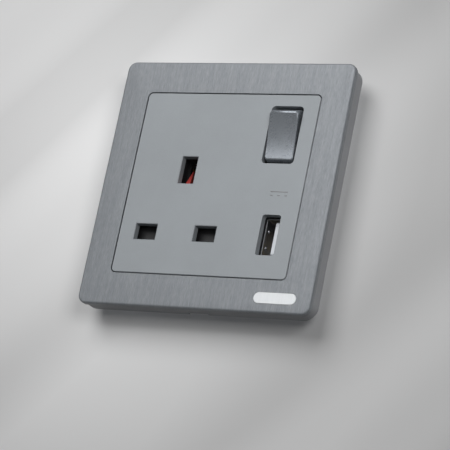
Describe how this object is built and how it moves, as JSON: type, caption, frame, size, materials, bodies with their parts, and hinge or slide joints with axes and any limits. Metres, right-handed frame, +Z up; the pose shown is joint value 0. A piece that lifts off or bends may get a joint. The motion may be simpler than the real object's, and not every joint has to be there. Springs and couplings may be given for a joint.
{
  "type": "switched wall socket",
  "caption": "Single wall socket with shuttered slots for three rectangular pins, a rocker switch and a charging port, in a brushed grey surround.",
  "frame": {"origin": "centre of the plate in the wall plane, midway between the two fixing slots", "axes": "+X to the right seen from the front, +Z up, +Y into the wall; the face looks along -Y"},
  "size_m": [0.086, 0.0287, 0.087],
  "materials": {
    "fascia": "brushed, satin grey",
    "surround": "moulded, matte",
    "badge": "satin, blank",
    "panel": "matte silver paint",
    "rocker": "satin silver paint",
    "zinc_steel": "zinc plated",
    "black_plastic": "moulded",
    "back_plastic": "moulded, lightly grained",
    "plunger_plastic": "moulded",
    "spring_steel": "drawn wire",
    "copper": "stamped",
    "silver": "polished",
    "brass": "stamped",
    "red_plastic": "moulded",
    "port_steel": "nickel plated",
    "white_plastic": "moulded",
    "gold": "plated",
    "board": "solder mask",
    "ferrite": "sintered",
    "capacitor": "sleeved"
  },
  "bodies": {
    "socket": {"fascia_frame": "fascia", "carrier_frame": "surround", "badge_plate": "badge", "front_panel": "panel", "mounting_yoke": "zinc_steel", "front_moulding": "black_plastic", "rear_moulding": "back_plastic", "housing_screws": "zinc_steel", "fixed_tip": "silver", "knife_post": "brass", "neutral_contact": "brass", "earth_contact": "brass", "live_contact": "brass", "neutral_terminal": "brass", "earth_terminal": "brass", "live_terminal": "brass", "terminal_screws": "zinc_steel", "shutter_spring": "spring_steel", "usb_shell": "port_steel", "usb_tongue": "white_plastic", "usb_contacts": "gold", "charger_board": "board", "converter_transformer": "ferrite", "smoothing_capacitor": "capacitor"},
    "rocker": {"rocker": "rocker", "rocker_spring": "spring_steel"},
    "plunger": {"rocker_plunger": "plunger_plastic"},
    "seesaw": {"seesaw_contact": "copper", "moving_tip": "silver"},
    "shutter": {"shutter_slide": "black_plastic", "shutter_ramp": "red_plastic"}
  },
  "joints": [
    {"name": "rocker_rock", "type": "hinge", "parent": "socket", "child": "rocker", "pos_m": [0.02107, -0.0023, 0.01807], "axis": [-1, 0, 0], "range_deg": [0, 19]},
    {"name": "plunger_press", "type": "slide", "parent": "rocker", "child": "plunger", "axis": [0, -0.9863, -0.165], "range_m": [0, 0.0008], "stiffness_N_per_m": 400, "springref_m": -0.002, "deforming": ["rocker_spring"]},
    {"name": "seesaw_rock", "type": "hinge", "parent": "socket", "child": "seesaw", "pos_m": [0.02107, 0.0099, 0.01807], "axis": [1, 0, 0], "range_deg": [0, 12]},
    {"name": "shutter_drop", "type": "slide", "parent": "socket", "child": "shutter", "axis": [0, 0, -1], "range_m": [0, 0.0062], "stiffness_N_per_m": 120, "springref_m": -0.004, "deforming": ["shutter_spring"]}
  ],
  "couplings": [
    {"joint": "seesaw_rock", "follows": "rocker_rock", "ratio": 0.63158}
  ]
}
